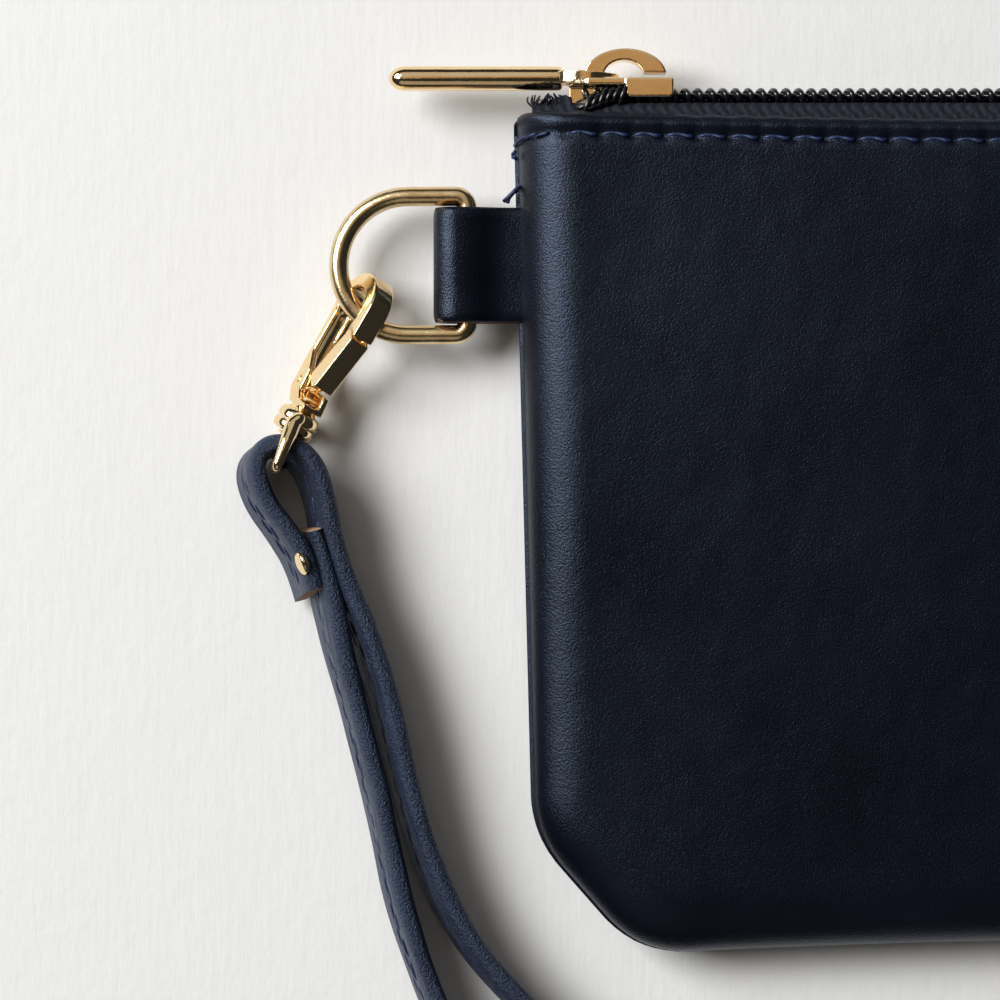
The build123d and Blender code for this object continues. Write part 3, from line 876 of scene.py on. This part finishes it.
def make_puller():
    axis = Matrix.Translation((0, PULLER_Y, SEAM_Z)) @ Matrix.Rotation(math.radians(90), 4, "Y")
    profile = [(-111.7 + 2.2 - 2.2 * math.cos(a), max(0.01, PULLER_R * math.sin(a)))
               for a in [math.pi / 2 * k / 14 for k in range(15)]]
    end = [(-104.0, 1.0), (-96.0, 1.0), (-89.4, 0.99), (-89.0, 0.95), (-88.8, 0.82), (-88.72, 0.6)]
    profile += [(x, PULLER_R * share) for x, share in end] + [(-88.7, 0.01)]
    rod = lathe("puller_rod", profile, axis, GOLD_MAT, PULLER_SIDES)
    outer, inner = [], []
    for k in range(PULLER_SIDES):
        a = 2 * math.pi * k / PULLER_SIDES
        outer.append((-85.6 + 4.3 * math.cos(a), SEAM_Z + 2.9 * math.sin(a)))
        inner.append((-85.3 + 3.0 * math.cos(a), SEAM_Z + 1.75 * math.sin(a)))
    wedge = ring_prism(outer, inner, 59.35, 60.65, FACING_Y)
    for v in wedge.vertices:           # the eye thins out to a wedge, away from the rod
        past = v.co.x + 88.5
        thin = 1 - 0.75 * smooth(past / 7.5)
        v.co.y = 60.05 + (v.co.y - PULLER_Y) * thin * 1.25 + 0.25 * smooth(past / 8.0)
    eye = cast("puller_eye", [wedge], GOLD_MAT, 0.08, 4)
    piece = merge("puller_metal", [rod, eye])
    carry(piece, "puller", "zip_puller")


make_puller()

# ---- tab and D-ring
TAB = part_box("ring_tab")
TAB_X0, TAB_Y0, TAB_Z0 = (v / MM for v in TAB[0])
TAB_Y1, TAB_Z1 = (v / MM for v in TAB[1][1:])
TAB_END_X = -89.0                      # inside the pouch
TAB_ROWS = 34
RING_BAR_X = -101.3
RING_HALF = 9.15
RING_ARC_X = -109.2
RING_R = 1.28
RING_CORNER = 1.6
RING_DROOP = 3.0                       # degrees that the ring hangs below the seam


def tab_outline(grow):
    """Section of the folded strip round the ring's bar (X, Z)."""
    z0, z1 = TAB_Z0 + grow, TAB_Z1 - grow
    mid = (z0 + z1) / 2
    half = (z1 - z0) / 2
    bend = half * 1.15
    centre = TAB_X0 + grow + bend
    limit = 1.75 if grow == 0 else 1.1
    points = [(x, z1 - min(limit, 2.0 * smooth((x + 102.5) / 7.0)))
              for x in (TAB_END_X, -92.0, -94.5, -96.0, -97.5, -99.0, -100.5)]
    points.append((centre, z1))
    for k in range(1, 16):
        a = math.pi / 2 - math.pi * k / 16
        points.append((centre - bend * math.cos(a), mid + half * math.sin(a)))
    points += [(centre, z0), (-98.0, z0), (-96.0, z0), (-93.0, z0 + 0.05), (TAB_END_X, z0 + 0.15)]
    return points


def make_tab():
    outer = tab_outline(0.0)
    inner = tab_outline(LEATHER)
    verts = []
    mid = (TAB_Z0 + TAB_Z1) / 2
    for i in range(TAB_ROWS + 1):
        t = i / TAB_ROWS
        y = TAB_Y0 + (TAB_Y1 - TAB_Y0) * t
        edge = max(0.0, 1 - min(t, 1 - t) * TAB_ROWS / 2.5) ** 2
        for x, z in outer:
            swell = 0.12 * wobble(x, y, 0.25, 5.0) - 0.35 * edge
            shift = 0.2 * edge if x > TAB_X0 + 1 else -0.3 * edge
            verts.append((x - shift, y, z + (swell if z > mid else -swell)))
        for x, z in reversed(inner):
            verts.append((x, y, z))
    cols = len(outer) + len(inner)
    faces = grid_faces(TAB_ROWS + 1, cols, wrap_cols=True)
    for row in (0, TAB_ROWS):
        n = len(outer)
        for k in range(n - 1):
            a, b = row * cols + k, row * cols + k + 1
            c, d = row * cols + cols - 2 - k, row * cols + cols - 1 - k
            faces.append((a, b, c, d) if row else (d, c, b, a))
    tab = mesh_object("tab_leather", verts, faces, LEATHER_MAT)
    tab.data.materials.append(RAW_MAT)
    caps = 2 * (len(outer) - 1)
    for polygon in list(tab.data.polygons)[-caps:]:
        polygon.material_index = 1
    carry(tab, "pouch", "ring_tab")


make_tab()


def make_ring():
    """The D: a straight bar in the tab, two short runs and a half circle."""
    mid_y = (TAB_Y0 + TAB_Y1) / 2
    corner = RING_CORNER
    path = [(RING_BAR_X, mid_y + (RING_HALF - corner) * s / 6) for s in range(-6, 7)]
    path += arc(RING_BAR_X - corner, mid_y + RING_HALF - corner, corner, 0, 90, 8)[1:]
    path += [(RING_BAR_X - corner - 1.5 * k, mid_y + RING_HALF) for k in range(1, 4)]
    path += arc(RING_ARC_X, mid_y, RING_HALF, 90, 270, 48)
    path += [(RING_ARC_X + 1.5 * k, mid_y - RING_HALF) for k in range(1, 4)]
    path += arc(RING_BAR_X - corner, mid_y - RING_HALF + corner, corner, 270, 360, 8)[:-1]
    droop = math.tan(math.radians(RING_DROOP))
    points = [(x, y, SEAM_Z + (x - RING_BAR_X) * droop) for x, y in path]
    ring = mesh_object("ring_metal", *tube_data(points, RING_R, sides=28, closed=True), SATIN_MAT)
    carry(ring, "ring", "d_ring")


make_ring()

# ---- snap hook
HOOK_O = Vector((-124.0, 14.5, 5.8))
HEADING = math.radians(59.5)
TILT = math.radians(33.0)
AXIS_U = Vector((math.cos(HEADING), math.sin(HEADING), 0))     # along the hook
AXIS_P = Vector((math.sin(HEADING), -math.cos(HEADING), 0))
AXIS_B = AXIS_P * math.sin(TILT) + UP * math.cos(TILT)          # across it
AXIS_N = UP * math.sin(TILT) - AXIS_P * math.cos(TILT)          # through it
PIN_B, PIN_A = -2.7, 5.3
HOOK_HALF = 1.62                       # half the hook's depth
HOOK_PLATE = 0.95                      # thickness of its side plates
NOSE_REACH = 10.75                     # from the gate's pin to the hook's nose
GATE_REACH = 10.4                      # and to the gate's tip


def pin_circle(radius, across):
    """Point at that radius from the gate's pin, at the given place across the hook."""
    return (across, PIN_A + math.sqrt(radius ** 2 - (across - PIN_B) ** 2))


def through(a, m, b, count):
    """Arc from a to b through m."""
    (ax, ay), (mx, my), (bx, by) = a, m, b
    d = 2 * (ax * (my - by) + mx * (by - ay) + bx * (ay - my))
    aa, mm, bb = ax * ax + ay * ay, mx * mx + my * my, bx * bx + by * by
    ux = (aa * (my - by) + mm * (by - ay) + bb * (ay - my)) / d
    uy = (aa * (bx - mx) + mm * (ax - bx) + bb * (mx - ax)) / d
    r = math.hypot(ax - ux, ay - uy)
    a0, am, a1 = (math.atan2(y - uy, x - ux) for x, y in (a, m, b))
    turn = (a1 - a0) % math.tau
    if (am - a0) % math.tau > turn:
        turn -= math.tau
    angles = [a0 + turn * k / count for k in range(count + 1)]
    return [(ux + r * math.cos(t), uy + r * math.sin(t)) for t in angles]


def make_hook():
    place = placed(HOOK_O, AXIS_B, AXIS_U, AXIS_N)
    nose_out = pin_circle(NOSE_REACH, 4.15)
    nose_in = pin_circle(NOSE_REACH, 2.0)
    head = through((-4.55, 15.8), (-0.2, 22.1), (4.15, 17.2), 30)
    head += [nose_out, nose_in]
    head += through((2.25, 16.9), (-0.5, 19.95), (-3.3, 15.8), 24)
    spine = [(-3.3, 4.0), (-4.1, 9.3), (-4.55, 15.9), (-3.2, 15.9), (-3.1, 9.3), (-2.2, 7.6),
             (-2.4, 4.0)]
    web = [(-3.2, 3.6), (-4.1, 9.3), (-4.55, 15.9), (-3.7, 15.9), (-3.4, 9.3), (-2.5, 3.6)]
    cheek = [(-2.0, 2.1), (-3.7, 3.9), (-4.15, 9.3), (-3.1, 9.6), (-1.3, 7.2)]
    cheek_radii = [0.4, 1.2, 0.4, 0.5, 0.8]
    wall = round_polygon(cheek + [(-0.9, 4.2), (0.4, 2.9), (0.6, 2.1)],
                         cheek_radii + [0.4, 0.3, 0.2])
    far_wall = round_polygon(cheek + [(-1.0, 5.0), (1.9, 4.9), (2.5, 2.1)],
                             cheek_radii + [0.3, 0.4, 0.3])
    base = round_polygon([(-2.2, 2.1), (-2.5, 3.1), (2.2, 2.9), (2.5, 2.1)], 0.2)
    plate_in = HOOK_HALF - HOOK_PLATE
    solids = [
        prism(head, -HOOK_HALF, HOOK_HALF, place),
        prism(spine, -HOOK_HALF, -plate_in, place),
        prism(spine, plate_in, HOOK_HALF, place),
        prism(web, -HOOK_HALF, HOOK_HALF, place),
        prism(wall, plate_in, HOOK_HALF + 0.05, place),
        prism(far_wall, -HOOK_HALF - 0.05, -plate_in, place),
        prism(base, -HOOK_HALF, HOOK_HALF, place),
    ]
    body = cast("hook_metal", solids, GOLD_MAT, 0.12, 42)
    carry(body, "hook", "hook_body")
    tip_out = pin_circle(GATE_REACH, 4.0)
    tip_in = pin_circle(GATE_REACH, 2.15)
    lever = [(-0.6, 6.6), (0.4, 5.6), (1.9, 5.4), tip_out, tip_in, (-0.2, 8.0)]
    inner = [(-0.4, 6.7), (0.6, 5.9), (1.5, 5.7), (tip_out[0] - 0.7, tip_out[1] - 0.3),
             (tip_in[0] + 0.2, tip_in[1] - 0.2), (0.1, 7.0)]
    front = [(1.1, 5.35), (1.9, 5.35), tip_out, (tip_out[0] - 0.8, tip_out[1] + 0.35)]
    arm = [(PIN_B - 0.9, PIN_A - 0.5), (PIN_B + 0.3, PIN_A - 1.0), (0.4, 5.4), (0.3, 7.4),
           (PIN_B, PIN_A + 1.0)]
    solids = [
        prism(lever, -1.55, -0.75, place),
        prism(lever, 0.75, 1.55, place),
        prism(front, -1.5, 1.5, place),
        prism(inner, -0.9, 0.9, place),
        prism(round_polygon(arm, 0.4), -0.8, 0.8, place),
    ]
    gate = cast("gate_metal", solids, GOLD_MAT, 0.10, 26)
    carry(gate, "gate", "hook_gate")
    pin_at = place @ Matrix.Translation((PIN_B, PIN_A, 0))
    profile = rounded_profile(-1.5, 1.5, 0.4, 0.05) + rounded_profile(1.5, 1.78, 0.66, 0.12)
    pin = lathe("pin_metal", profile, pin_at, GOLD_MAT, 24)
    carry(pin, "hook", "gate_pin")


make_hook()


COLLAR_SIDES = 48
BAR_AT = Vector((-126.3, 8.4, 5.8))    # middle of the bail's bar, which the strap turns round
BAR_R = 0.68
BAIL_HALF = 5.2
SWIVEL = placed(HOOK_O, AXIS_B, AXIS_N * -1, AXIS_U)
BAIL_STEPS = 6                         # points to each run of the bail's wire


def make_swivel():
    profile = [(-2.15, 1.2), (-2.1, 1.5), (-1.95, 1.6), (-1.8, 1.55), (-1.7, 1.0), (0.0, 1.0),
               (0.03, 2.0), (0.04, 2.62), (0.08, 2.72), (0.18, 2.79), (0.5, 2.84), (1.0, 2.8),
               (1.4, 2.62), (1.65, 2.3), (1.78, 1.95), (2.0, 1.75), (2.3, 1.7)]
    post = lathe("swivel_metal", profile, SWIVEL, GOLD_MAT, COLLAR_SIDES)
    carry(post, "hook", "swivel_post")


make_swivel()


def make_bail():
    """The collar under the hook's, and a loop of wire that runs down both sides of the strap."""
    profile = [(-1.6, 1.2), (-1.58, 2.2), (-1.5, 2.5), (-1.25, 2.74), (-0.8, 2.84), (-0.3, 2.8),
               (-0.16, 2.72), (-0.12, 2.6), (-0.1, 1.2)]
    collar = lathe("bail_collar", profile, SWIVEL, GOLD_MAT, COLLAR_SIDES)
    reach = (BAR_AT - HOOK_O).length
    leg = [(1.4, 3.7, 0.45), (0.9, 3.8, 0.85), (-0.1, 3.9, 1.06), (-1.6, 4.4, 1.02),
           (-3.1, 5.0, 0.9), (-reach + 1.2, BAIL_HALF, 0.76),
           (-reach + 0.2, BAIL_HALF - 0.2, BAR_R)]      # along, out from the middle, radius
    loop = []
    radii = []
    for sign in (1, -1):
        for a, h, r in leg[::sign]:
            if a < 0:
                foot = HOOK_O + (BAR_AT - HOOK_O) * (-a / reach)
            else:
                foot = HOOK_O + AXIS_U * a + AXIS_P * (0.4 * a)
            loop.append(foot + UP * h * sign)
            radii.append(r)
        if sign > 0:
            for h in (3.8, 1.9, 0, -1.9, -3.8):
                loop.append(BAR_AT + UP * h)
                radii.append(BAR_R)
    dense = []
    dense_r = []
    for i in range(len(loop) - 1):
        p0, p1 = loop[max(i - 1, 0)], loop[i]
        p2, p3 = loop[i + 1], loop[min(i + 2, len(loop) - 1)]
        square, cube = 2 * p0 - 5 * p1 + 4 * p2 - p3, 3 * p1 - p0 - 3 * p2 + p3
        for k in range(BAIL_STEPS):
            t = k / BAIL_STEPS
            dense.append(0.5 * ((2 * p1) + (p2 - p0) * t + square * t * t + cube * t ** 3))
            dense_r.append(radii[i] * (1 - t) + radii[i + 1] * t)
    dense.append(loop[-1])
    dense_r.append(radii[-1])
    wire = mesh_object("bail_wire", *tube_data(dense, dense_r, sides=20), GOLD_MAT)
    bail = merge("bail_metal", [collar, wire])
    carry(bail, "bail", "swivel_bail")


make_bail()

# ---- wrist strap
STRAP_W = 9.0
STRAP_T = 2.2
STRAP_MID_Z = 5.8
STRAP_LEAN = 15.5                      # degrees that the standing strip leans
LEAN_TOWARDS = Vector((0.95, 0.40, 0.0))
LOOP_LEAN = 5.5                        # further lean where it turns round the bail
STRAP_FOLD = 1.38                      # half the strip's thickness at its folded upper edge
# Middle line of the strap in metres: from the riveted end, round the bail, round the wrist loop and
# back up to the second end.
STRAP_ROUTE = [
    (-0.1222, -0.0088), (-0.1233, -0.0044), (-0.1258, -0.0002), (-0.1290, 0.0040),
    (-0.1303, 0.0082), (-0.1287, 0.0109), (-0.1256, 0.0112), (-0.1226, 0.0092),
    (-0.1209, 0.0046), (-0.1200, -0.0012), (-0.1179, -0.0076), (-0.1149, -0.0140),
    (-0.1124, -0.0216), (-0.1102, -0.0310), (-0.1076, -0.0412), (-0.1034, -0.0516),
    (-0.0956, -0.0614), (-0.0840, -0.0720), (-0.0680, -0.0860), (-0.0540, -0.1010),
    (-0.0460, -0.1180), (-0.0465, -0.1340), (-0.0560, -0.1460), (-0.0700, -0.1490),
    (-0.0830, -0.1410), (-0.0910, -0.1250), (-0.0955, -0.1060), (-0.0986, -0.0870),
    (-0.1030, -0.0690), (-0.1089, -0.0550), (-0.1120, -0.0420), (-0.1150, -0.0285),
    (-0.1184, -0.0165), (-0.1201, -0.0086), (-0.1213, -0.0034), (-0.1228, 0.0009),
]


def strap_line():
    """The strap's middle line, read back from a smooth curve along the route."""
    curve = bpy.data.curves.new("strap_route", "CURVE")
    curve.dimensions = "3D"
    spline = curve.splines.new("NURBS")
    spline.points.add(len(STRAP_ROUTE) - 1)
    for point, (x, y) in zip(spline.points, STRAP_ROUTE):
        point.co = (x, y, STRAP_MID_Z * MM, 1)
    spline.order_u = 3
    spline.use_endpoint_u = True
    spline.resolution_u = 16
    holder = add_object("strap_route", curve)
    bpy.context.view_layer.update()
    mesh = bpy.data.meshes.new_from_object(holder)
    line = [v.co.copy() for v in mesh.vertices]
    bpy.data.objects.remove(holder)
    return line


def strap_frames(line):
    """Point, tangent, side, upright direction with the strip's lean, and the run so far."""
    out = []
    run = 0.0
    for i, p in enumerate(line):
        a, b = line[max(i - 1, 0)], line[min(i + 1, len(line) - 1)]
        t = (b - a).normalized()
        side = UP.cross(t).normalized()
        lean = math.radians(STRAP_LEAN + LOOP_LEAN * smooth((p.y / MM + 25) / 20))
        upright = (UP + side * (side.dot(LEAN_TOWARDS) * math.tan(lean))).normalized()
        across = t.cross(upright) * -1
        if i:
            run += (p - line[i - 1]).length / MM
        out.append((p / MM, t, across, upright, run))
    return out


def strap_section():
    """Outline of the strip's section (across, upright): folded over at the top, thinner below."""
    half = STRAP_W / 2
    corners = [(-0.95, -half), (0.95, -half), (1.1, -0.5), (STRAP_FOLD, 2.4),
               (STRAP_FOLD * 0.8, half), (-STRAP_FOLD * 0.8, half), (-STRAP_FOLD, 2.4),
               (-1.1, -0.5)]
    ring = round_polygon(corners, [0.6, 0.6, 3.0, 2.0, 1.5, 1.5, 2.0, 3.0], 5)
    dense = []
    for i, p in enumerate(ring):
        q = ring[(i + 1) % len(ring)]
        steps = max(1, round(math.dist(p, q) / 0.45))
        dense += [(p[0] + (q[0] - p[0]) * k / steps, p[1] + (q[1] - p[1]) * k / steps)
                  for k in range(steps)]
    return dense


def face_at(height):
    """Half the strip's thickness at a height above its middle."""
    if height < -0.5:
        return 0.95 + 0.15 * (height + STRAP_W / 2) / (STRAP_W / 2 - 0.5)
    return 1.1 + (STRAP_FOLD - 1.1) * (height + 0.5) / 2.9


STRAP_STITCH = 3.4                     # from one stitch to the next
SLANT = 1.1                            # how far the cut ends slope back from the lower edge
RIVET_RUN = 4.8                        # along the strap from its upper cut end
RIVET_H = 3.7                          # above the strip's middle
RIVET_SINK = 0.36                      # how far its cap is sunk into the leather
ROWS = (1.1, -0.7)                     # heights of the two rows against the strip's middle


def make_strap():
    line = strap_line()
    frames = strap_frames(line)
    section = strap_section()
    total = frames[-1][4]
    verts = []
    for p, t, across, upright, run in frames:
        for a, h in section:
            crease = 0.0
            for row in ROWS:
                phase = (run / STRAP_STITCH) % 1.0
                hole = math.exp(-(min(phase, 1 - phase) * STRAP_STITCH / 0.4) ** 2)
                crease += math.exp(-((h - row) / 0.3) ** 2) * (0.06 + 0.10 * hole)
            swell = 0.20 * noise.noise(Vector((run * 0.10, h * 0.22, a * 0.5)))
            swell += 0.10 * noise.noise(Vector((run * 0.16, h * 1.5, a * 1.5 + 4)))
            grow = 1 + (swell - crease) / (STRAP_T / 2)
            grow *= 1 - 0.3 * smooth((run - total + 12) / 12)
            rise = 0.25 * noise.noise(Vector((run * 0.13, 7.0, 2.0))) if h > 2 else 0.0
            cut_in = SLANT * (0.5 + h / STRAP_W) * (1 - min(1.0, min(run, total - run) / 1.2))
            ahead = t * (cut_in if run < total / 2 else -cut_in)
            verts.append(p + across * (a * grow) + upright * (h + rise) + ahead)
    cols = len(section)
    faces = grid_faces(len(frames), cols, wrap_cols=True)
    faces += end_caps(len(frames), cols)
    strap = mesh_object("strap_leather", verts, faces, STRAP_MAT)
    strap.data.materials.append(RAW_MAT)
    for polygon in list(strap.data.polygons)[-2:]:
        polygon.material_index = 1
        polygon.use_smooth = False
    parts = []
    for face in (-1, 1):
        for row in ROWS:
            s = 2.0 if row > 0 else 3.4
            while s < total - 5:
                points = []
                for k in range(7):
                    at = s + (STRAP_STITCH - 0.7) * k / 6
                    p, t, across, upright, run = frames[nearest(frames, at)]
                    p = p + t * (at - run)
                    dip = 0.22 * abs(2 * k / 6 - 1) ** 4
                    points.append(p + across * face * (face_at(row) - 0.03 - dip) + upright * row)
                parts.append(tube_data(points, 0.15, sides=6))
                s += STRAP_STITCH
    thread = mesh_object("strap_stitches", *join_data(parts), NAVY_THREAD_MAT)
    return strap, thread, line


def nearest(frames, at):
    low, high = 0, len(frames) - 1
    while high - low > 1:
        mid = (low + high) // 2
        if frames[mid][4] < at:
            low = mid
        else:
            high = mid
    return low


strap, strap_thread, strap_points = make_strap()


def make_rivet():
    """Tubular rivet through the strands where the strap is closed round the bail."""
    frames = strap_frames(strap_points)
    p, _, across, upright, _ = frames[nearest(frames, RIVET_RUN)]
    outward = across if across.x < 0 else across * -1
    side = outward.cross(UP).normalized()
    axes = (side, outward.cross(side), outward)
    seat = p + upright * RIVET_H + outward * (face_at(RIVET_H) - RIVET_SINK)
    cap = [(-0.9, 1.4), (-0.5, 1.65), (-0.2, 1.7), (0.0, 1.55), (0.14, 1.15), (0.2, 0.6),
           (0.22, 0.05)]
    post = [(-6.6, 0.05), (-6.5, 1.2), (-6.3, 1.6), (-6.1, 1.6), (-6.0, 1.1), (-0.4, 1.1),
            (-0.1, 1.0)]
    cap_piece = lathe("rivet_cap", cap, placed(seat, *axes), GOLD_MAT, 40)
    low = p + outward * face_at(0)
    post_piece = lathe("rivet_post", post, placed(low, *axes), GOLD_MAT, 32)
    return cap_piece, post_piece


rivet_cap, rivet_post = make_rivet()
carry(strap, "strap", "wrist_strap")
carry(strap_thread, "strap", "strap_thread")
carry(rivet_cap, "strap", "strap_rivet_cap")
carry(rivet_post, "strap", "strap_rivet_post")

# ---- carried-over CAD pieces
for node, material in (("side_seam_thread", THREAD_MAT), ("gate_spring", STEEL_MAT)):
    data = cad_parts[node].data
    data.materials.clear()
    data.materials.append(material)


# ---- floor and light
def paper_material():
    material, tree, shader, place = new_material("paper", (0.80, 0.80, 0.80), 0.85, specular=0.2)
    tooth = texture(tree, place, "Noise", Scale=350.0, Detail=6.0, Roughness=0.65)
    broad = texture(tree, place, "Noise", Scale=60.0, Detail=4.0)
    along = add_node(tree, "ShaderNodeMapping", Scale=(1.0, 0.14, 1.0))
    tree.links.new(place, along.inputs["Vector"])
    fibre = texture(tree, along.outputs["Vector"], "Noise", Scale=900.0, Detail=4.0, Roughness=0.6)
    bump_chain(tree, shader, [
        (broad.outputs["Fac"], 0.12, 0.0012),
        (tooth.outputs["Fac"], 0.18, 0.0005),
        (fibre.outputs["Fac"], 0.13, 0.0004),
    ])
    return material


FLOOR = 1500                           # half the floor's side
MIDDLE = Vector((-0.097, 0.004, 0.0))
corners = [(-FLOOR, -FLOOR, 0), (FLOOR, -FLOOR, 0), (FLOOR, FLOOR, 0), (-FLOOR, FLOOR, 0)]
floor = mesh_object("floor", corners, [(0, 1, 2, 3)], paper_material())


def area_light(name, place, size, power, color):
    """A rectangle of light that faces the middle of the view."""
    data = bpy.data.lights.new(name, "AREA")
    data.shape = "RECTANGLE"
    data.size, data.size_y = size
    data.energy = power
    data.color = color
    light = add_object(name, data)
    light.location = place
    light.rotation_euler = (MIDDLE - Vector(place)).to_track_quat("-Z", "Y").to_euler()


area_light("window", (-1.15, 0.55, 1.05), (0.9, 0.9), 37.0, (1.0, 1.0, 0.99))
area_light("far_wall", (-0.15, 0.85, 1.10), (1.2, 1.0), 1.8, (1.0, 0.96, 0.90))
area_light("near_wall", (-0.35, -0.95, 0.95), (0.9, 0.8), 0.7, (1.0, 0.92, 0.80))
area_light("shelf", (-0.10, 0.26, 1.25), (0.5, 0.30), 0.20, (1.0, 0.68, 0.38))
area_light("lamp", (-0.33, 0.06, 1.20), (0.22, 0.32), 0.10, (1.0, 0.85, 0.62))
world = bpy.data.worlds.new("room")
world.use_nodes = True
room = world.node_tree.nodes["Background"]
room.inputs["Color"].default_value = (0.90, 0.93, 1.0, 1)
room.inputs["Strength"].default_value = 0.03
bpy.context.scene.world = world
bpy.context.scene.view_settings.view_transform = "Standard"
